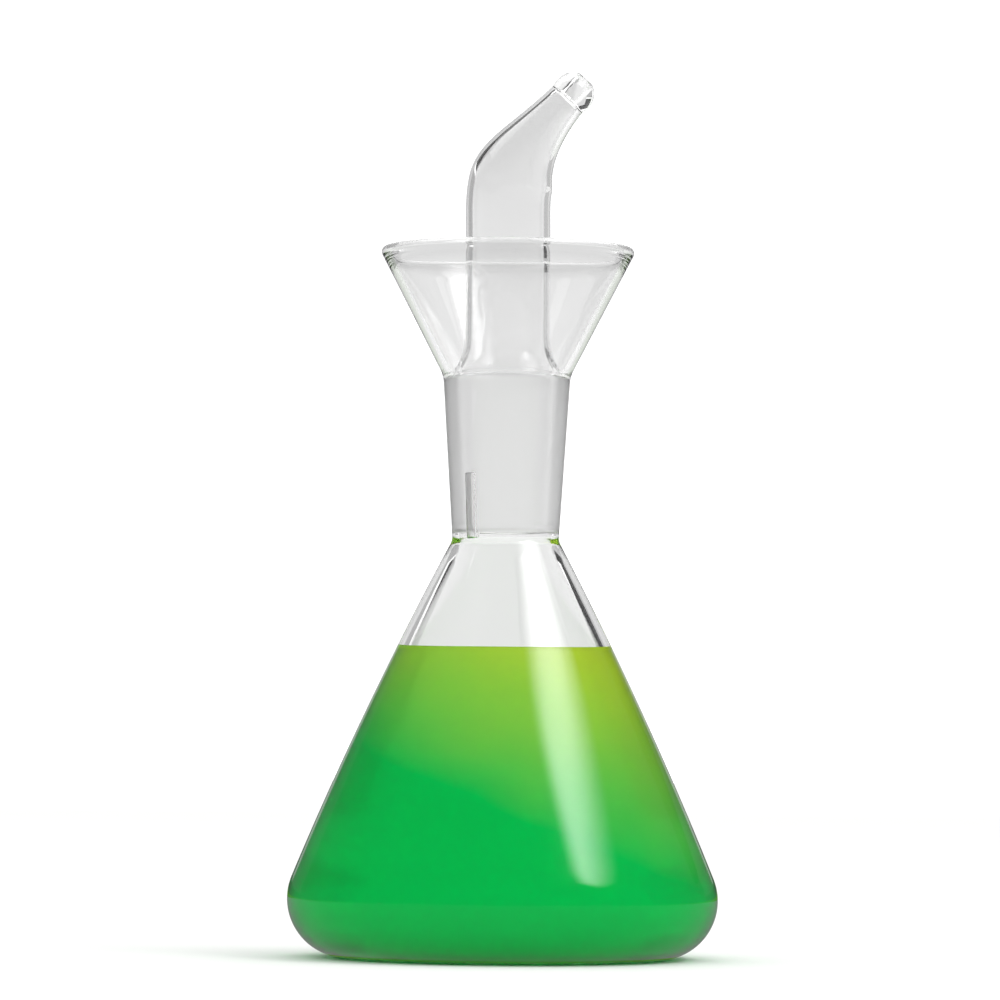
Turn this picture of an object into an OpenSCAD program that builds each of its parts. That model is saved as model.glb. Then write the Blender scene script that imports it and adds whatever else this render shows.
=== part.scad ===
// A drip-catching pouring cruet: a conical blown-glass flask whose neck opens
// into a funnel, a hollow ground-glass pourer that sits in the neck, and the
// filling. Millimetres, +Z up. The foot ring stands on z = 0, the flask's axis
// is the Z axis and the spout leans towards +X.

/* [Flask body] */
// Width across the widest point of the body
body_d = 88; // [84:1:96]
// Radius of the rounded heel at the bottom of the body
heel_r = 12; // [9:0.5:13]
// Wall of the body
wall = 2.2; // [1.8:0.1:2.6]
// Height of the corner where the cone meets the neck
shoulder_z = 85.4; // [82:0.1:88]

/* [Neck and funnel] */
// Outside width of the neck at its narrow lower end
neck_d = 21.8; // [21.4:0.1:23]
// Outside width of the neck at its top, where the funnel starts
neck_top_d = 26.1; // [25.6:0.1:27]
// Height of the corner where the neck opens into the funnel
funnel_z = 119.2; // [118.8:0.1:121]
// Width over the funnel's rim
rim_d = 51.9; // [46:0.1:58]
// Height of the middle of the rim's bead
rim_z = 144.5; // [140:0.5:149]
// Wall of the funnel
funnel_wall = 1.6; // [1.4:0.1:1.8]
// Thickness of the fire-polished bead round the rim
rim_bead_d = 2.2; // [1.8:0.1:2.6]

/* [Ground joint] */
// Wide end of the ground socket; the joint tapers by 1 in 10
joint_d = 22.4; // [22:0.1:22.6]
// Free gap between the ground cone and its socket, on the radius
joint_gap = 0.05; // [0.02:0.01:0.1]
// Width of the vent groove in the cone and of its mate in the socket
groove_w = 2; // [1.6:0.1:2.4]

/* [Pourer] */
// Outside width of the spout tube
tube_d = 17.4; // [16:0.1:18]
// Wall of the spout tube
tube_wall = 1.2; // [1:0.1:1.4]
// How far the nozzle leans from upright at its tip, in degrees
nozzle_tilt = 42.5; // [36:0.5:48]
// How far the tip stands out sideways from the flask's axis
tip_x = 13.1; // [11:0.1:15]
// Height of the centre of the rounded tip
tip_z = 177.5; // [175:0.5:180]
// Width of the pouring hole
tip_hole_d = 3.2; // [2.4:0.1:4]

/* [Filling] */
// Height of the surface of the liquid
fill_z = 62.7; // [20:0.1:78]

/* [Hidden] */
$fn = 96;

body_r = body_d / 2;
// the flat foot ring runs in from under the middle of the heel
foot_out = body_r - heel_r;
foot_in = foot_out - 5;
// underside pushed up inside the foot ring, and the floor above it
punt = 1.2;
floor_z = 3.6;
// the cone's side swells a little: its ends lean this much off the chord
swell = 2.8;

// ground joint: wide end, taper on the radius, ends of the ground stretch
joint_top_z = 118.6;
joint_taper = 0.05;
joint_low_z = 86.5;
function socket_r(z) = joint_d / 2 - (joint_top_z - z) * joint_taper;
function cone_r(z) = socket_r(z) - joint_gap;

neck_r = neck_d / 2;
neck_top_r = neck_top_d / 2;
rim_r = rim_d / 2 - rim_bead_d / 2;
bead_r = rim_bead_d / 2;
// the funnel's wall runs straight from the neck's top to the bead
lean = atan((rim_r - neck_top_r) / (rim_z - funnel_z));
bead_out = [cos(lean) * bead_r, -sin(lean) * bead_r];

// pourer: ends of the ground cone, its shoulder and the straight tube
cone_low_z = 87;
cone_wall = 1.6;
cone_top_z = 119.4;
tube_low_z = 124.5;
tube_r = tube_d / 2;
bore_r = tube_r - tube_wall;
bend_z = 148.6;
tip_r = 4.35;
nozzle_end_r = 4.0;
nozzle_wall = 1.1;

// vent groove in the cone's lower part, and its mate in the socket's upper part
groove_deep = 0.9;
groove_top_z = 99;
groove_at = 229;
flute_low_z = 96;
flute_at = 49;

glass = [0.86, 0.91, 0.90, 0.35];
ground_glass = [0.90, 0.93, 0.92, 0.6];
green = [0.02, 0.60, 0.22, 0.8];

function unit(v) = v / norm(v);

// points of an arc of radius r that rounds the corner b between a and c
function corner(a, b, c, r, n) =
  let (u = unit(a - b))
  let (v = unit(c - b))
  let (half = acos(u * v) / 2)
  let (mid = b + unit(u + v) * r / sin(half))
  let (from = (b + u * r / tan(half) - mid) / r)
  let (to = (b + v * r / tan(half) - mid) / r)
  let (w = acos(from * to))
  [for (i = [0 : n]) mid + r * (from * sin((n - i) * w / n) + to * sin(i * w / n)) / sin(w)];

// the side of the cone: an arc that leaves the heel smoothly and ends at the neck
heel = [foot_out, heel_r];
shoulder = [neck_r, shoulder_z];
function side_start(a) = heel + heel_r * [cos(a - swell), sin(a - swell)];
function side_lean(a, n) =
  let (p = side_start(a))
  n == 0 ? a : side_lean(atan((p.x - shoulder.x) / (shoulder.y - p.y)), n - 1);
side_a = side_lean(25, 12);
side_r = norm(shoulder - side_start(side_a)) / (2 * sin(swell));
side_mid = side_start(side_a) - side_r * [cos(side_a - swell), sin(side_a - swell)];
function side(inset, steps) =
  [for (i = [0 : steps])
    let (a = side_a - swell + 2 * swell * i / 14)
    side_mid + (side_r - inset) * [cos(a), sin(a)]];

// outlines of the flask, radius across and height up
module flask_outside() {
  funnel_foot = [neck_top_r, funnel_z];
  bead_side = [rim_r, rim_z] + bead_out;
  union() {
    polygon(concat(
      [[0, punt], [foot_in - 5, punt], [foot_in, 0], [foot_out, 0], heel],
      side(0, 13),
      corner(side(0, 13)[13], shoulder, funnel_foot, 4, 5),
      corner(shoulder, funnel_foot, bead_side, 8, 5),
      [bead_side, [rim_r, rim_z], [0, rim_z]]));
    translate(heel) circle(r = heel_r);
  }
}

// the space inside the body, at one inset from the glass: the liquid fits it too
module cavity(inset) {
  union() {
    polygon(concat(
      [[0, floor_z + inset], [foot_in - 5, floor_z - 0.3 + inset], [foot_out, wall + inset], heel],
      side(wall + inset, 15),
      [[0, side(wall + inset, 15)[15].y]]));
    translate(heel) circle(r = heel_r - wall - inset);
  }
}

// the ground socket and the inside of the funnel above it
module mouth() {
  top = rim_z + bead_r + 1;
  inner_foot = [socket_r(funnel_z), funnel_z + 0.2];
  in_side = [rim_r, rim_z] + bead_out - funnel_wall * [cos(lean), -sin(lean)];
  in_top = in_side + (top - in_side.y) * [tan(lean), 1];
  polygon(concat(
    [[0, shoulder_z - 5], [socket_r(shoulder_z - 5), shoulder_z - 5]],
    corner([socket_r(shoulder_z), shoulder_z], inner_foot, in_side, 2, 3),
    [in_top, [0, in_top.y]]));
}

// a round-bottomed vertical slot cut at one side of the tapered joint
module slot(at, z0, z1, r0, r1) {
  rotate([0, 0, at])
    translate([r0, 0, z0])
      rotate([0, atan((r1 - r0) / (z1 - z0)), 0])
        cylinder(r = groove_w / 2, h = norm([r1 - r0, z1 - z0]));
}

module flask() {
  color(glass)
    difference() {
      rotate_extrude()
        union() {
          difference() {
            flask_outside();
            cavity(0);
            mouth();
          }
          // the bead round the rim is thicker than the wall under it
          translate([rim_r, rim_z]) circle(r = bead_r);
        }
      // mate of the vent groove, in the upper part of the socket
      slot(flute_at, flute_low_z, funnel_z + 2, socket_r(flute_low_z) - 0.5, socket_r(funnel_z + 2) - 0.5);
    }
}

// the spout's line bends over from upright to the nozzle's tilt
bend_0 = [0, bend_z];
bend_1 = [0, bend_z + 10.3];
bend_3 = [tip_x, tip_z];
bend_2 = bend_3 - 21.6 * [sin(nozzle_tilt), cos(nozzle_tilt)];
function bend(t) =
  pow(1 - t, 3) * bend_0 + 3 * pow(1 - t, 2) * t * bend_1 + 3 * (1 - t) * t * t * bend_2 + pow(t, 3) * bend_3;
function bend_way(t) =
  unit(pow(1 - t, 2) * (bend_1 - bend_0) + 2 * (1 - t) * t * (bend_2 - bend_1) + t * t * (bend_3 - bend_2));
// and it draws down from the tube's width to the nozzle's
function draw(t) = let (s = min(max((t - 0.41) / 0.62, 0), 1)) s * s * (3 - 2 * s);
function spout_r(t) = tube_r + (nozzle_end_r - tube_r) * draw(t);

function ring(p, way, r, n) =
  [for (k = [0 : n - 1])
    let (a = 360 * k / n)
    [p.x + r * cos(a) * way.y, r * sin(a), p.y - r * cos(a) * way.x]];
// one closed body swept along the bend up to last, inset from the outside by a wall
module swept(inset, last, n, steps) {
  rings = concat(
    [ring(bend_0 - [0, 0.4], [0, 1], spout_r(0) - inset, n)],
    [for (i = [0 : steps])
      let (t = last * i / steps)
      ring(bend(t), bend_way(t), spout_r(t) - inset, n)]);
  count = len(rings);
  polyhedron(
    points = [for (one = rings) for (p = one) p],
    faces = concat(
      [[for (k = [0 : n - 1]) k]],
      [for (i = [0 : count - 2]) for (k = [0 : n - 1])
        [i * n + k, (i + 1) * n + k, (i + 1) * n + (k + 1) % n, i * n + (k + 1) % n]],
      [[for (k = [n - 1 : -1 : 0]) (count - 1) * n + k]]));
}

module pourer_outside() {
  low = [cone_r(cone_low_z), cone_low_z];
  top = [cone_r(cone_top_z), cone_top_z];
  foot = [tube_r, tube_low_z];
  polygon(concat(
    [[0, cone_low_z]],
    corner([0, cone_low_z], low, top, 0.7, 4),
    corner(low, top, foot, 1.2, 4),
    corner(top, foot, [tube_r, bend_z], 12, 5),
    [[tube_r, bend_z], [0, bend_z]]));
}

module pourer_bore() {
  low = [cone_r(cone_low_z) - cone_wall, cone_low_z - 1];
  top = [cone_r(cone_top_z) - cone_wall, cone_top_z - 0.6];
  foot = [bore_r, tube_low_z + 0.4];
  polygon(concat(
    [[0, cone_low_z - 1], low],
    corner(low, top, foot, 3, 4),
    corner(top, foot, [bore_r, bend_z], 12, 5),
    [[bore_r, bend_z], [0, bend_z]]));
}

module pourer() {
  color(ground_glass)
    difference() {
      union() {
        rotate_extrude() pourer_outside();
        swept(0.01, 1, 32, 18);
        // rounded, fire-polished tip
        translate([tip_x, 0, tip_z]) sphere(r = tip_r);
      }
      rotate_extrude() pourer_bore();
      swept(nozzle_wall + 0.01, 0.98, 24, 14);
      // pouring hole through the tip
      translate([tip_x, 0, tip_z])
        rotate([0, nozzle_tilt, 0])
          translate([0, 0, -3]) cylinder(d = tip_hole_d, h = 9);
      // vent groove, open at the bottom of the cone
      slot(groove_at, cone_low_z - 1, groove_top_z,
        cone_r(cone_low_z - 1) + groove_w / 2 - groove_deep,
        cone_r(groove_top_z) + groove_w / 2 - groove_deep);
    }
}

module liquid() {
  color(green)
    rotate_extrude()
      intersection() {
        cavity(0.05);
        square([body_r, fill_z]);
      }
}

flask();
pourer();
liquid();
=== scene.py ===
import math

import bpy
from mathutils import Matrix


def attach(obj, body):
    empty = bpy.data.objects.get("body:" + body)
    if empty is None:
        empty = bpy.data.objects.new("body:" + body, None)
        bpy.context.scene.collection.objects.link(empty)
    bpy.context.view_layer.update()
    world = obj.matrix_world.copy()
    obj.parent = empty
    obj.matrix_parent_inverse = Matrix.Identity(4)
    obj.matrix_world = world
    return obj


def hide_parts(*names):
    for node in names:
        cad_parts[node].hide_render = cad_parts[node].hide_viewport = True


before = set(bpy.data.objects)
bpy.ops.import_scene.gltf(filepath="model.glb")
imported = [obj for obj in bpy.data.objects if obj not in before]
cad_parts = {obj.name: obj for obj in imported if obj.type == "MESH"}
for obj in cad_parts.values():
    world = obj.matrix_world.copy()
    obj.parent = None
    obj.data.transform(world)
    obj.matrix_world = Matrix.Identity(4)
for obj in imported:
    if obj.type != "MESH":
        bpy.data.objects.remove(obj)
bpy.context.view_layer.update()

# ---------------------------------------------------------------------------
# FLASK. One piece of blown borosilicate glass: a cone with a rounded heel, a
# neck with a ground socket inside it, and the drip-catching funnel. The
# glassblower turns it in the flame, so it is drawn as a half outline and spun.
# ---------------------------------------------------------------------------
MM = 0.001
TURN_STEPS = 160

BODY_R = 44.0
HEEL_R = 12.0
BODY_WALL = 2.2
PUNT = 1.2
FLOOR_Z = 3.6
FOOT = (BODY_R - HEEL_R, HEEL_R)
SHOULDER = (10.9, 85.4)
SIDE_SWELL = 2.8
SIDE_END = 0.35
FUNNEL_FOOT = (13.05, 119.2)
RIM = (24.85, 144.5)
RIM_BEAD_R = 1.1
FUNNEL_WALL = 1.6
SOCKET_TOP_R = 11.2
SOCKET_TOP_Z = 118.6
SOCKET_LOW_Z = 86.5
SOCKET_TAPER = 0.05
LIQUID_Z = 62.7
MENISCUS_UP = 0.3
CONTACT_Z = LIQUID_Z + MENISCUS_UP
CONTACT_ROOM = 0.4
PUNT_FLAT_R = 12
PUNT_EDGE_R = 22
BEAD_STEPS = 26
BEAD_TUCK = 38


def toward(a, b):
    long = math.hypot(b[0] - a[0], b[1] - a[1])
    return (b[0] - a[0]) / long, (b[1] - a[1]) / long


def rounded(a, b, c, radius, steps):
    """Points of an arc that rounds the corner b between a and c."""
    u, v = toward(b, a), toward(b, c)
    half = math.acos(u[0] * v[0] + u[1] * v[1]) / 2
    reach = radius / math.sin(half)
    mid = toward((0, 0), (u[0] + v[0], u[1] + v[1]))
    mid = (b[0] + mid[0] * reach, b[1] + mid[1] * reach)
    cut = radius / math.tan(half)
    first = toward(mid, (b[0] + u[0] * cut, b[1] + u[1] * cut))
    last = toward(mid, (b[0] + v[0] * cut, b[1] + v[1] * cut))
    sweep = math.acos(first[0] * last[0] + first[1] * last[1])
    points = []
    for i in range(steps + 1):
        p, q = math.sin((steps - i) * sweep / steps), math.sin(i * sweep / steps)
        bow = [(first[k] * p + last[k] * q) / math.sin(sweep) for k in (0, 1)]
        points.append((mid[0] + radius * bow[0], mid[1] + radius * bow[1]))
    return points


def arc(mid, radius, start, end, steps):
    """Points of an arc from one angle to another, in degrees."""
    angles = [math.radians(start + (end - start) * i / steps) for i in range(steps + 1)]
    return [(mid[0] + radius * math.cos(a), mid[1] + radius * math.sin(a)) for a in angles]


def along(a, b, steps):
    """Points evenly spaced from a to b, without the first."""
    parts = [i / steps for i in range(1, steps + 1)]
    return [(a[0] + (b[0] - a[0]) * part, a[1] + (b[1] - a[1]) * part) for part in parts]


# the cone's side is a very flat arc that leaves the heel smoothly
side_lean = 25.0
for _ in range(12):
    side_foot = arc(FOOT, HEEL_R, side_lean - SIDE_SWELL, 90, 1)[0]
    side_lean = math.degrees(math.atan((side_foot[0] - SHOULDER[0]) / (SHOULDER[1] - side_foot[1])))
side_from, side_to = side_lean - SIDE_SWELL, side_lean + SIDE_SWELL
side_long = math.hypot(SHOULDER[0] - side_foot[0], SHOULDER[1] - side_foot[1])
side_r = side_long / (2 * math.sin(math.radians(SIDE_SWELL)))
side_mid = (
    side_foot[0] - side_r * math.cos(math.radians(side_from)),
    side_foot[1] - side_r * math.sin(math.radians(side_from)),
)


def side(inset, start, end, steps):
    return arc(side_mid, side_r - inset, start, end, steps)


def side_at(inset, z):
    """The point of the cone's side at height z, that far under the surface."""
    reach = side_r - inset
    return side_mid[0] + math.sqrt(reach**2 - (z - side_mid[1]) ** 2), z


def is_inside(out, up):
    """True for a point on the inside of the body's wall, from its radius and height."""
    if up > side_foot[1]:
        return math.hypot(out - side_mid[0], up - side_mid[1]) < side_r - BODY_WALL / 2
    return out < FOOT[0] or math.hypot(out - FOOT[0], up - FOOT[1]) < HEEL_R - BODY_WALL / 2


def socket_r(z):
    return SOCKET_TOP_R - (SOCKET_TOP_Z - z) * SOCKET_TAPER


funnel_lean = math.degrees(math.atan((RIM[0] - FUNNEL_FOOT[0]) / (RIM[1] - FUNNEL_FOOT[1])))
funnel_out = toward((0, 0), (math.cos(math.radians(funnel_lean)), -math.sin(math.radians(funnel_lean))))
bead_out = (RIM[0] + funnel_out[0] * RIM_BEAD_R, RIM[1] + funnel_out[1] * RIM_BEAD_R)
funnel_in = (bead_out[0] - funnel_out[0] * FUNNEL_WALL, bead_out[1] - funnel_out[1] * FUNNEL_WALL)
SOCKET_LIP_Z, SOCKET_FOOT_Z = 119.3, 84.0
socket_lip = (socket_r(SOCKET_LIP_Z), SOCKET_LIP_Z)
socket_foot = (socket_r(SOCKET_FOOT_Z), SOCKET_FOOT_Z)

# the flask from the pushed-up underside round the heel to the rim's bead
outside = [(0, PUNT), (PUNT_FLAT_R, PUNT)]
outside += rounded((PUNT_FLAT_R, PUNT), (PUNT_EDGE_R, PUNT), (27.4, 0), 6, 5)
outside += rounded((PUNT_EDGE_R, PUNT), (27.6, 0), (FOOT[0], 0), 4, 4)
outside += arc(FOOT, HEEL_R, -90, side_from, 28)
cone_side = side(0, side_from, side_to - SIDE_END, 30)
outside += [p for p in cone_side[1:] if p[1] < CONTACT_Z - CONTACT_ROOM]
outside.append(side_at(0, CONTACT_Z))
outside += [p for p in cone_side if p[1] > CONTACT_Z + CONTACT_ROOM]
outside += rounded(cone_side[-1], SHOULDER, FUNNEL_FOOT, 3.2, 8)
funnel_corner = rounded(SHOULDER, FUNNEL_FOOT, bead_out, 8, 8)
outside += along(outside[-1], funnel_corner[0], 14)[:-1] + funnel_corner
outside += along(outside[-1], bead_out, 10)
rim_arc = arc(RIM, RIM_BEAD_R, -funnel_lean, 180 - funnel_lean + BEAD_TUCK, BEAD_STEPS)

# and back down inside: the funnel, the socket, the body's well and its floor
inside = rounded(funnel_in, socket_lip, socket_foot, 2.0, 5)
funnel_down = (-math.sin(math.radians(funnel_lean)), -math.cos(math.radians(funnel_lean)))
rim_blend_end = (funnel_in[0] + 1.9 * funnel_down[0], funnel_in[1] + 1.9 * funnel_down[1])
rim_blend = along(rim_arc[-1], rim_blend_end, 2)
neck_inside = rounded(socket_lip, socket_foot, side(BODY_WALL, side_from, side_to, 1)[0], 2.5, 5)
well = side(BODY_WALL, side_to, side_from, 30)
dry = [p for p in well if CONTACT_Z + CONTACT_ROOM < p[1] < neck_inside[-1][1] - 0.5]
wet = [p for p in well if p[1] < CONTACT_Z - CONTACT_ROOM]
well = dry + [side_at(BODY_WALL, CONTACT_Z)] + wet
heel_in = arc(FOOT, HEEL_R - BODY_WALL, side_from, -90, 22)[1:]
floor_in = rounded(heel_in[-1], (24, FLOOR_Z - 0.3), (0, FLOOR_Z), 14, 5)
floor_in += [(10, FLOOR_Z - 0.1), (0, FLOOR_Z)]
outline = outside + rim_arc[1:] + rim_blend
outline += along(rim_blend[-1], inside[0], 9)[:-1] + inside
outline += along(inside[-1], neck_inside[0], 16)[:-1] + neck_inside + well + heel_in + floor_in


def draw_and_spin(name, points, steps=TURN_STEPS):
    """Draws a half outline vertex by vertex and spins it once round the upright axis."""
    bpy.ops.object.select_all(action="DESELECT")
    bpy.ops.mesh.primitive_plane_add(size=MM, location=(points[0][0] * MM, 0, points[0][1] * MM))
    piece = bpy.context.object
    piece.name = name
    bpy.ops.object.transform_apply(location=True, rotation=True, scale=True)
    bpy.ops.object.mode_set(mode="EDIT")
    bpy.ops.mesh.merge(type="CENTER")
    last = points[0]
    for point in points[1:]:
        step = ((point[0] - last[0]) * MM, 0, (point[1] - last[1]) * MM)
        bpy.ops.mesh.extrude_region_move(TRANSFORM_OT_translate={"value": step})
        last = point
    bpy.ops.mesh.select_all(action="SELECT")
    bpy.ops.mesh.spin(steps=steps, angle=2 * math.pi, center=(0, 0, 0), axis=(0, 0, 1))
    bpy.ops.mesh.select_all(action="SELECT")
    bpy.ops.mesh.remove_doubles(threshold=0.002 * MM)
    bpy.ops.mesh.normals_make_consistent(inside=False)
    bpy.ops.object.mode_set(mode="OBJECT")
    bpy.ops.object.shade_smooth()
    return piece


flask = draw_and_spin("blown_flask", outline)

# the flute ground into the socket, which lets air past the pourer
FLUTE_LOW_Z, FLUTE_TOP_Z = 96.0, 121.0
FLUTE_DEEP = 0.5
VENT_WIDE = 2.0
SLOT_ROUNDING = 0.35
SLOT_PROUD = 1.5
FLUTE_TURN = math.radians(49)


def grind_slot(piece, turn, low_z, top_z, bottom_r, proud_r, lean):
    """Cuts an upright slot with rounded edges, between two radii, that leans as the taper does."""
    bpy.ops.object.select_all(action="DESELECT")
    mid_r, mid_z = (bottom_r + proud_r) / 2, (low_z + top_z) / 2
    at = (mid_r * MM * math.cos(turn), mid_r * MM * math.sin(turn), mid_z * MM)
    bpy.ops.mesh.primitive_cube_add(size=1, location=at, rotation=(0, lean, turn))
    wheel = bpy.context.object
    wheel.scale = (abs(proud_r - bottom_r) * MM, VENT_WIDE * MM, (top_z - low_z) * MM)
    bpy.ops.object.transform_apply(location=True, rotation=True, scale=True)
    rounding = wheel.modifiers.new("rounded_wheel", "BEVEL")
    rounding.width = SLOT_ROUNDING * MM
    rounding.segments = 3
    bpy.ops.object.modifier_apply(modifier="rounded_wheel")
    bpy.ops.object.select_all(action="DESELECT")
    piece.select_set(True)
    bpy.context.view_layer.objects.active = piece
    cut = piece.modifiers.new("slot", "BOOLEAN")
    cut.operation = "DIFFERENCE"
    cut.solver = "EXACT"
    cut.object = wheel
    bpy.ops.object.modifier_apply(modifier="slot")
    bpy.data.objects.remove(wheel)


taper = math.atan(SOCKET_TAPER)
flute_mid_r = socket_r((FLUTE_LOW_Z + FLUTE_TOP_Z) / 2)
grind_slot(
    flask,
    FLUTE_TURN,
    FLUTE_LOW_Z,
    FLUTE_TOP_Z,
    flute_mid_r - SLOT_PROUD,
    flute_mid_r + FLUTE_DEEP,
    taper,
)


def linear(hex_colour):
    """An sRGB hex colour as linear RGBA."""
    parts = [int(hex_colour[i : i + 2], 16) / 255 for i in (1, 3, 5)]
    return (*[c / 12.92 if c <= 0.04045 else ((c + 0.055) / 1.055) ** 2.4 for c in parts], 1)


def add(tree, kind, settings=None, **links):
    """Adds one node, with its settings and what feeds its sockets."""
    made = tree.nodes.new(kind)
    for key, value in (settings or {}).items():
        if isinstance(key, str) and hasattr(made, key):
            setattr(made, key, value)
        else:
            made.inputs[key].default_value = value
    for key, value in links.items():
        tree.links.new(value, made.inputs[int(key[1:]) if key[1:].isdigit() else key.replace("_", " ")])
    return made


def new_material(name):
    made = bpy.data.materials.new(name)
    made.use_nodes = True
    made.node_tree.nodes.clear()
    return made, made.node_tree


def blown_ripple(tree):
    """The slow waves that blowing and drawing leave in the surface."""
    place = add(tree, "ShaderNodeTexCoord").outputs["Object"]
    waves = add(tree, "ShaderNodeTexNoise", {"Scale": 1 / (14 * MM), "Detail": 1.0}, Vector=place)
    slope = {"Strength": 0.05, "Distance": 0.3 * MM}
    return add(tree, "ShaderNodeBump", slope, Height=waves.outputs["Fac"]).outputs["Normal"]


# Borosilicate glass, fire-polished: clear, a trace of grey where it is thick,
# and a surface that waves a little, so what it mirrors isn't quite straight.
glass, tree = new_material("borosilicate_glass_fire_polished")
body = add(
    tree,
    "ShaderNodeBsdfPrincipled",
    {"Base Color": linear("#F6F6F6"), "Roughness": 0.0, "IOR": 1.473, "Transmission Weight": 1.0},
    Normal=blown_ripple(tree),
)
add(tree, "ShaderNodeOutputMaterial", Surface=body.outputs[0])

# The same glass ground with fine grit: every grain scatters, so it looks
# milky and nothing shows sharp through it.
ground, tree = new_material("borosilicate_glass_ground")
place = add(tree, "ShaderNodeTexCoord").outputs["Object"]
grit = add(tree, "ShaderNodeTexNoise", {"Scale": 1 / (0.35 * MM), "Detail": 3.0}, Vector=place).outputs["Fac"]
grain = add(tree, "ShaderNodeBump", {"Strength": 0.15, "Distance": 0.05 * MM}, Height=grit).outputs["Normal"]
rough = add(tree, "ShaderNodeMapRange", {"To Min": 0.36, "To Max": 0.44}, Value=grit).outputs[0]
body = add(
    tree,
    "ShaderNodeBsdfPrincipled",
    {"Base Color": linear("#FEFEFE"), "IOR": 1.22, "Transmission Weight": 1.0},
    Normal=grain,
    Roughness=rough,
)
add(tree, "ShaderNodeOutputMaterial", Surface=body.outputs[0])

# Where the filling wets the glass, light goes straight on: oil and glass bend
# it alike, so this face neither bends nor mirrors.
wetted, tree = new_material("borosilicate_glass_wetted")
body = add(
    tree,
    "ShaderNodeBsdfPrincipled",
    {"Base Color": linear("#FFFFFF"), "Roughness": 0.0, "IOR": 1.0, "Transmission Weight": 1.0},
)
add(tree, "ShaderNodeOutputMaterial", Surface=body.outputs[0])

# Outside the filling the wall takes its colour from the green behind it, so
# what it mirrors shows more faintly than on the empty glass.
filled, tree = new_material("borosilicate_glass_over_filling")
body = add(
    tree,
    "ShaderNodeBsdfPrincipled",
    {
        "Base Color": linear("#F6F6F6"),
        "Roughness": 0.0,
        "IOR": 1.473,
        "Transmission Weight": 1.0,
        "Specular Tint": (0.3, 0.3, 0.3, 1),
        "Coat Weight": 1.0,
        "Coat Roughness": 0.1,
        "Coat IOR": 1.5,
    },
    Normal=blown_ripple(tree),
)
add(tree, "ShaderNodeOutputMaterial", Surface=body.outputs[0])

# clear outside and in the funnel, ground in the socket, wetted inside the body
for material in (glass, ground, wetted, filled):
    flask.data.materials.append(material)
for face in flask.data.polygons:
    out, up = math.hypot(face.center.x, face.center.y) / MM, face.center.z / MM
    if SOCKET_LOW_Z < up < SOCKET_TOP_Z and out < socket_r(up) + 0.4:
        face.material_index = 1
    elif FLOOR_Z - 2 < up < CONTACT_Z and is_inside(out, up):
        face.material_index = 2
    elif up < CONTACT_Z:
        face.material_index = 3
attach(flask, "flask_and_filling")
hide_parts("flask")

# ---------------------------------------------------------------------------
# POURER. A second piece of the same glass: a ground cone that plugs the neck,
# drawn from tube, with the upper end pulled thin, bent over in the flame and
# its tip melted round to a small hole.
# ---------------------------------------------------------------------------
JOINT_GAP = 0.05
CONE_LOW_Z = 87.0
CONE_TOP_Z = 119.4
CONE_WALL = 1.6
TUBE_LOW_Z = 124.5
TUBE_R = 8.7
TUBE_WALL = 1.2
BEND_Z = 148.6
BEND_LEAD = 10.3
NOZZLE_LEAD = 21.6
NOZZLE_TILT = math.radians(42.5)
TIP = (13.1, 177.5)
TIP_R = 4.35
NOZZLE_END_R = 4.0
NOZZLE_WALL = 1.1
HOLE_R = 1.6


def cone_r(z):
    return socket_r(z) - JOINT_GAP


bend_points = [
    (0, BEND_Z),
    (0, BEND_Z + BEND_LEAD),
    (TIP[0] - NOZZLE_LEAD * math.sin(NOZZLE_TILT), TIP[1] - NOZZLE_LEAD * math.cos(NOZZLE_TILT)),
    TIP,
]


def bend(t):
    weights = ((1 - t) ** 3, 3 * (1 - t) ** 2 * t, 3 * (1 - t) * t * t, t**3)
    return tuple(sum(w * p[k] for w, p in zip(weights, bend_points)) for k in (0, 1))


def spout_r(t):
    s = min(max((t - 0.41) / 0.62, 0), 1)
    return TUBE_R + (NOZZLE_END_R - TUBE_R) * s * s * (3 - 2 * s)


BEND_STEPS = 64
stations, run = [(0.0, 0.0)], 0.0
for i in range(1, BEND_STEPS + 1):
    a, b = bend((i - 1) / BEND_STEPS), bend(i / BEND_STEPS)
    run += math.hypot(b[0] - a[0], b[1] - a[1])
    stations.append((i / BEND_STEPS, run))
tip_up = BEND_Z + run

cone_low, cone_top = (cone_r(CONE_LOW_Z), CONE_LOW_Z), (cone_r(CONE_TOP_Z), CONE_TOP_Z)
bore_low, bore_top = (cone_low[0] - CONE_WALL, CONE_LOW_Z), (cone_top[0] - CONE_WALL, CONE_TOP_Z - 0.6)
tube_foot, bore_foot = (TUBE_R, TUBE_LOW_Z), (TUBE_R - TUBE_WALL, TUBE_LOW_Z + 0.4)
bead_from = math.degrees(math.acos(min(1, (NOZZLE_END_R + 0.03) / TIP_R)))
outline = rounded(bore_low, cone_low, cone_top, 0.75, 5)
shoulder = rounded(cone_low, cone_top, tube_foot, 1.2, 5)
outline += along(outline[-1], shoulder[0], 44)[:-1] + shoulder
neckline = rounded(cone_top, tube_foot, (TUBE_R, BEND_Z), 12, 8)
outline += along(outline[-1], neckline[0], 3)[:-1] + neckline
outline += along(outline[-1], (TUBE_R, BEND_Z), 14)
bead_foot = run - TIP_R * math.sin(math.radians(bead_from)) - 0.1
outline += [(spout_r(t), BEND_Z + s) for t, s in stations[1:] if s < bead_foot]
outline += arc((0, tip_up), TIP_R, -bead_from, 62, 14)
outline += rounded(outline[-1], (HOLE_R, tip_up + 4.15), (HOLE_R, tip_up - 1), 0.6, 5)[1:]

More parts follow.
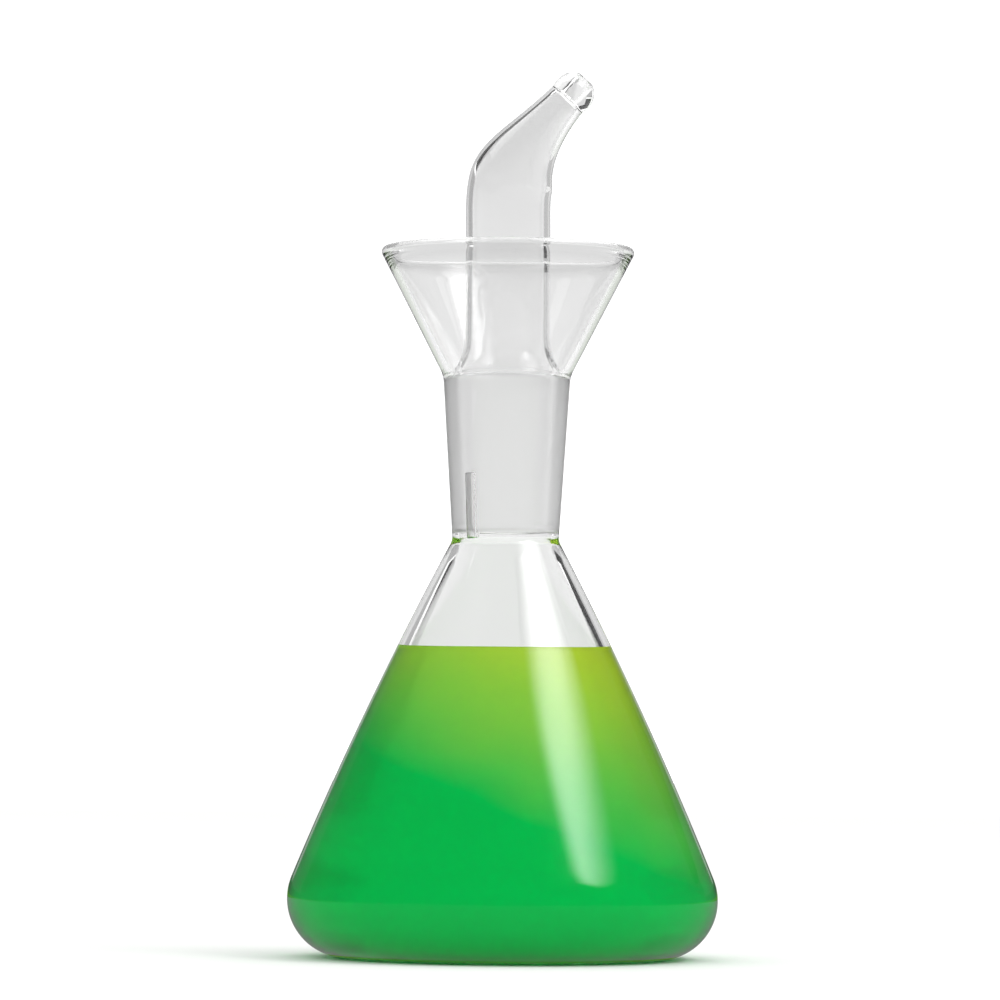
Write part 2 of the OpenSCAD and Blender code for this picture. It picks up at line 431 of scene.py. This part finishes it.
# the pouring hole, which opens with two rounded corners into the nozzle's bore
bore_tip_r = NOZZLE_END_R - NOZZLE_WALL
hole_end, bore_end = (HOLE_R, tip_up - 1.2), (bore_tip_r, tip_up - 1.6)
outline += rounded((HOLE_R, tip_up + 3), hole_end, bore_end, 0.4, 4)
outline += rounded(hole_end, bore_end, (bore_tip_r + 0.1, tip_up - 5), 0.9, 6)
for t, s in reversed(stations):
    if s < run - 2.9:
        outline.append((spout_r(t) - TUBE_WALL + (TUBE_WALL - NOZZLE_WALL) * t, BEND_Z + s))
bore_neck = rounded((bore_foot[0], BEND_Z), bore_foot, bore_top, 12, 8)
outline += along((bore_foot[0], BEND_Z), bore_neck[0], 14)[:-1] + bore_neck
bore_shoulder = rounded(bore_foot, bore_top, bore_low, 3, 5)
outline += along(outline[-1], bore_shoulder[0], 3)[:-1] + bore_shoulder
bore_mouth = rounded(bore_top, bore_low, cone_low, 0.75, 5)
outline += along(outline[-1], bore_mouth[0], 16)[:-1] + bore_mouth
pourer = draw_and_spin("drawn_pourer", [(r, z - BEND_Z) for r, z in outline], 192)

# bent over in the flame: the straight piece follows a curve laid along the bend
bpy.ops.object.select_all(action="DESELECT")
bpy.ops.curve.primitive_bezier_curve_add(location=(0, 0, 0))
former = bpy.context.object
former.data.twist_mode = "MINIMUM"
former.data.resolution_u = 96
foot_point, tip_point = former.data.splines[0].bezier_points
past_tip = (TIP[0] * 2 - bend_points[2][0], TIP[1] * 2 - bend_points[2][1])
for point, co, left, right in (
    (foot_point, bend_points[0], (0, BEND_Z - 5), bend_points[1]),
    (tip_point, TIP, bend_points[2], past_tip),
):
    point.handle_left_type = point.handle_right_type = "FREE"
    point.co = (co[0] * MM, 0, (co[1] - BEND_Z) * MM)
    point.handle_left = (left[0] * MM, 0, (left[1] - BEND_Z) * MM)
    point.handle_right = (right[0] * MM, 0, (right[1] - BEND_Z) * MM)
bpy.ops.object.select_all(action="DESELECT")
pourer.select_set(True)
bpy.context.view_layer.objects.active = pourer
bender = pourer.modifiers.new("bend", "CURVE")
bender.object = former
bender.deform_axis = "POS_Z"
bpy.ops.object.modifier_apply(modifier="bend")
bpy.ops.transform.translate(value=(0, 0, BEND_Z * MM))
bpy.ops.object.transform_apply(location=True, rotation=True, scale=True)
bpy.data.objects.remove(former)

# the vent groove ground into the lower half of the cone
GROOVE_TOP_Z = 99.0
GROOVE_DEEP = 0.9
GROOVE_TURN = math.radians(229)
GROOVE_MID_Z = 92.5
groove_mid_r = cone_r(GROOVE_MID_Z)
grind_slot(
    pourer,
    GROOVE_TURN,
    CONE_LOW_Z - SLOT_PROUD,
    GROOVE_TOP_Z,
    groove_mid_r - GROOVE_DEEP,
    groove_mid_r + SLOT_PROUD,
    taper,
)

# ground on the cone's outside and in its groove, clear everywhere else
for material in (glass, ground):
    pourer.data.materials.append(material)
for face in pourer.data.polygons:
    out, up = math.hypot(face.center.x, face.center.y) / MM, face.center.z / MM
    if CONE_LOW_Z + 1.4 < up < CONE_TOP_Z - 0.6 and out > cone_r(up) - 0.9:
        face.material_index = 1
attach(pourer, "pourer")
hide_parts("pourer")

# ---------------------------------------------------------------------------
# LIQUID. The green filling: it takes the shape of the flask, with a level
# surface that creeps a little way up the glass.
# ---------------------------------------------------------------------------
FILL_GAP = 0.02
MENISCUS_REACH = 0.7
outline = [(0, FLOOR_Z + FILL_GAP)]
outline += [(r, z + FILL_GAP) for r, z in reversed(floor_in[:-1])]
outline += [p for p in arc(FOOT, HEEL_R - BODY_WALL - FILL_GAP, -90, side_from, 22)][1:]
outline += [p for p in side(BODY_WALL + FILL_GAP, side_from, side_to, 30)[1:] if p[1] < CONTACT_Z - 0.6]
outline.append(side_at(BODY_WALL + FILL_GAP, CONTACT_Z))
wall_r = outline[-1][0]
for off_wall in (0.1, 0.25, 0.5, 0.9, 1.5, 2.5, 4.0):
    outline.append((wall_r - off_wall, LIQUID_Z + MENISCUS_UP * math.exp(-off_wall / MENISCUS_REACH)))
outline += [(wall_r - 10, LIQUID_Z), (4, LIQUID_Z), (0, LIQUID_Z)]
liquid = draw_and_spin("green_filling", outline)


def dye(tree):
    """What the dye takes from the light on its way through: red first, then blue."""
    return add(tree, "ShaderNodeVolumeAbsorption", {"Color": (0.6, 0.93, 0.7, 1), "Density": 20.0}).outputs[0]


# Dyed oil: fine droplets make it cloudy, so most of the light comes back from
# just under the glass and a third goes through, losing red and blue on the way.
# Painted light: the colour is painted yellow-green near the top and towards the right, where the soft light
# falls, and deep green low down and to the left; a noise makes the line between them wander.
filling, tree = new_material("dyed_oil")
place = add(tree, "ShaderNodeTexCoord").outputs["Object"]
axes = add(tree, "ShaderNodeSeparateXYZ", _0=place)
drift = add(tree, "ShaderNodeTexNoise", {"Scale": 1 / (22 * MM), "Detail": 1.0}, Vector=place).outputs["Fac"]
drift = add(tree, "ShaderNodeMapRange", {"To Min": -5 * MM, "To Max": 5 * MM}, Value=drift).outputs[0]
# painted light: tilting the colour's height along X paints the side towards the soft light yellower
lean = add(tree, "ShaderNodeMath", {"operation": "MULTIPLY_ADD", 1: 0.4}, _0=axes.outputs["X"], _2=drift)
height = add(tree, "ShaderNodeMath", {"operation": "ADD"}, _0=axes.outputs["Z"], _1=lean.outputs[0])
level = add(
    tree, "ShaderNodeMapRange", {"From Min": 31 * MM, "From Max": 68 * MM}, Value=height.outputs[0]
)
# painted light ramp: deep green low down and to the left, yellow-green where the light falls
painted_light_ramp = add(tree, "ShaderNodeValToRGB", _0=level.outputs[0])
painted_light_ramp.color_ramp.elements[0].color = linear("#00E76C")
painted_light_ramp.color_ramp.elements[1].color = linear("#E7FD4B")
body = add(
    tree,
    "ShaderNodeBsdfPrincipled",
    {"Roughness": 0.0, "IOR": 1.0, "Transmission Weight": 0.35},
    Base_Color=painted_light_ramp.outputs[0],
)
add(tree, "ShaderNodeOutputMaterial", Surface=body.outputs[0], Volume=dye(tree))

# The same oil where it meets the air: a level mirror, green from the cloud
# below it, that bends light as oil does.
surface, tree = new_material("dyed_oil_free_surface")
body = add(
    tree,
    "ShaderNodeBsdfPrincipled",
    {"Base Color": linear("#86E24A"), "Roughness": 0.0, "IOR": 1.36, "Transmission Weight": 0.55},
)
add(tree, "ShaderNodeOutputMaterial", Surface=body.outputs[0], Volume=dye(tree))
liquid.data.materials.append(filling)
liquid.data.materials.append(surface)
for face in liquid.data.polygons:
    if face.normal.z > 0.6 and face.center.z / MM > LIQUID_Z - 0.5:
        face.material_index = 1
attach(liquid, "flask_and_filling")
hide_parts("liquid")

# ---------------------------------------------------------------------------
# STUDIO. A white floor in a white room, a big soft light to the front right
# and above, flats and curtains round the object, and the camera.
# ---------------------------------------------------------------------------
bpy.ops.object.select_all(action="DESELECT")
bpy.ops.mesh.primitive_plane_add(size=8, location=(0, 0, 0))
floor = bpy.context.object
floor.name = "studio_floor"
paper, tree = new_material("matt_white_paper")
body = add(tree, "ShaderNodeBsdfPrincipled", {"Base Color": linear("#E3E3E3"), "Roughness": 1.0})
add(tree, "ShaderNodeOutputMaterial", Surface=body.outputs[0])
floor.data.materials.append(paper)

world = bpy.data.worlds.new("white_room")
world.use_nodes = True
world.node_tree.nodes["Background"].inputs["Color"].default_value = (1, 1, 1, 1)
world.node_tree.nodes["Background"].inputs["Strength"].default_value = 1.4
bpy.context.scene.world = world

CENTRE_Z = 0.07
SOFTBOX_POWER = 6.6


def card(name, place, width, height, grey, roll=0):
    """A flat card that faces the object and that the camera itself doesn't see."""
    bpy.ops.object.select_all(action="DESELECT")
    bpy.ops.mesh.primitive_plane_add(size=1, location=place)
    made = bpy.context.object
    made.name = name
    made.scale = (width, height, 1)
    to_object = -(made.location - type(made.location)((0, 0, CENTRE_Z)))
    turn = to_object.to_track_quat("Z", "Y").to_matrix().to_4x4()
    made.rotation_euler = (turn @ type(turn).Rotation(math.radians(roll), 4, "Z")).to_euler()
    skin, tree = new_material(name + "_cloth")
    light = add(tree, "ShaderNodeEmission", {"Color": (grey, grey, grey, 1), "Strength": 1.0})
    add(tree, "ShaderNodeOutputMaterial", Surface=light.outputs[0])
    made.data.materials.append(skin)
    made.visible_camera = False
    made.visible_diffuse = False
    made.visible_shadow = False
    return made


# dark and grey flats: the walls of hollow glass bend their image into thin lines
card("upper_left_flat", (-0.74, 1.10, 0.97), 1.0, 0.8, 0.06)
card("right_flat", (0.82, 1.01, 0.44), 0.42, 0.24, 0.02)
left_flat = card("left_flat", (-0.86, 1.30, 0.32), 1.15, 0.46, 0.5)
low_right_flat = card("low_right_flat", (0.86, 1.30, 0.32), 1.15, 0.46, 0.62)
left_flat.visible_glossy = low_right_flat.visible_glossy = False

# the paper right behind, which falls off towards the top
backdrop = card("backdrop", (0, 0.5, 0.25), 0.5, 0.5, 1.0)
backdrop.rotation_euler = (math.pi / 2, 0, 0)
backdrop.visible_glossy = False
tree = backdrop.data.materials[0].node_tree
tree.nodes.clear()
place = add(tree, "ShaderNodeTexCoord").outputs["Generated"]
up = add(tree, "ShaderNodeSeparateXYZ", _0=place).outputs["Y"]
falloff = add(
    tree, "ShaderNodeMapRange", {"From Min": 0.32, "From Max": 0.46, "To Min": 1.0, "To Max": 0.78}, Value=up
)
light = add(tree, "ShaderNodeEmission", {"Color": (1, 1, 1, 1)}, Strength=falloff.outputs[0])
add(tree, "ShaderNodeOutputMaterial", Surface=light.outputs[0])

# these darken only what the glass mirrors
for name, place, width, height, grey in (
    ("room_behind_camera", (0, -2.2, 1.6), 18.0, 5.0, 0.06),
    ("left_curtain", (-1.2, 0.25, 0.55), 1.9, 1.3, 0.06),
    ("right_curtain", (1.25, 0.20, 0.50), 2.2, 1.2, 0.06),
    ("table_top_painted_shade", (0, 0, 0.0005), 4.0, 4.0, 0.25),
    ("near_table_top_painted_shade", (0, 0, 0.0009), 0.9, 0.9, 0.2),
    ("low_back_curtain", (0, 1.86, 0.05), 4.5, 0.16, 0.06),
    ("back_curtain", (0, 1.9, 0.5), 1.4, 1.7, 0.4),
    ("back_corners", (0, 1.95, 0.5), 4.8, 1.7, 0.09),
):
    dark = card(name, place, width, height, grey)
    dark.visible_transmission = False
    # painted shade: the two table-top cards lie flat on the floor and stand for the paper that the flask
    # shades, seen only in what the glass mirrors
    if "table_top" in name:
        dark.rotation_euler = (0, 0, 0)
    if name == "table_top_painted_shade":
        # painted light: this card glows green for the green light that leaves the flask and falls on the
        # paper farther out
        painted_green_light = dark.data.materials[0].node_tree.nodes["Emission"].inputs["Color"]
        painted_green_light.default_value = (0.09, 0.2, 0.03, 1)

# the soft light, brightest in its middle, which the glass mirrors as one long strip
softbox = card("softbox", (0.694, -0.372, 0.96), 0.88, 0.80, 1.0, roll=58)
tree = softbox.data.materials[0].node_tree
tree.nodes.clear()
place = add(tree, "ShaderNodeTexCoord").outputs["Generated"]
across = add(tree, "ShaderNodeSeparateXYZ", _0=place)
fades = []
for axis, full_from in (("X", 0.05), ("Y", 0.34)):
    off = add(tree, "ShaderNodeMath", {"operation": "SUBTRACT", 1: 0.5}, _0=across.outputs[axis]).outputs[0]
    off = add(tree, "ShaderNodeMath", {"operation": "ABSOLUTE"}, _0=off).outputs[0]
    smooth = {"interpolation_type": "SMOOTHSTEP", "From Min": 0.5, "From Max": full_from}
    fades.append(add(tree, "ShaderNodeMapRange", smooth, Value=off).outputs[0])
fade = add(tree, "ShaderNodeMath", {"operation": "MULTIPLY"}, _0=fades[0], _1=fades[1]).outputs[0]
power = add(tree, "ShaderNodeMath", {"operation": "MULTIPLY", 1: SOFTBOX_POWER}, _0=fade).outputs[0]
light = add(tree, "ShaderNodeEmission", {"Color": (1, 1, 1, 1)}, Strength=power)
add(tree, "ShaderNodeOutputMaterial", Surface=light.outputs[0])
softbox.visible_diffuse = True

# the camera: a long lens at about the height of the liquid's surface
EYE = (-0.0012, -1.12, 0.046)
AIM = (-0.0012, 0.0, 0.0937)
VIEW_WIDTH = 0.205
CAMERA_ROLL = 0.5
bpy.ops.object.camera_add(location=EYE)
camera = bpy.context.object
look = type(camera.location)(AIM) - camera.location
turn = look.to_track_quat("-Z", "Y").to_matrix().to_4x4()
roll = type(turn).Rotation(math.radians(CAMERA_ROLL), 4, "Z")
camera.rotation_euler = (turn @ roll).to_euler()
camera.data.sensor_width = 36
camera.data.lens = camera.data.sensor_width * look.length / VIEW_WIDTH
camera.data.clip_end = 20
bpy.context.scene.camera = camera
bpy.context.scene.view_settings.view_transform = "Standard"
bpy.context.scene.cycles.max_bounces = 24
bpy.context.scene.cycles.transmission_bounces = 24
bpy.context.scene.cycles.glossy_bounces = 12
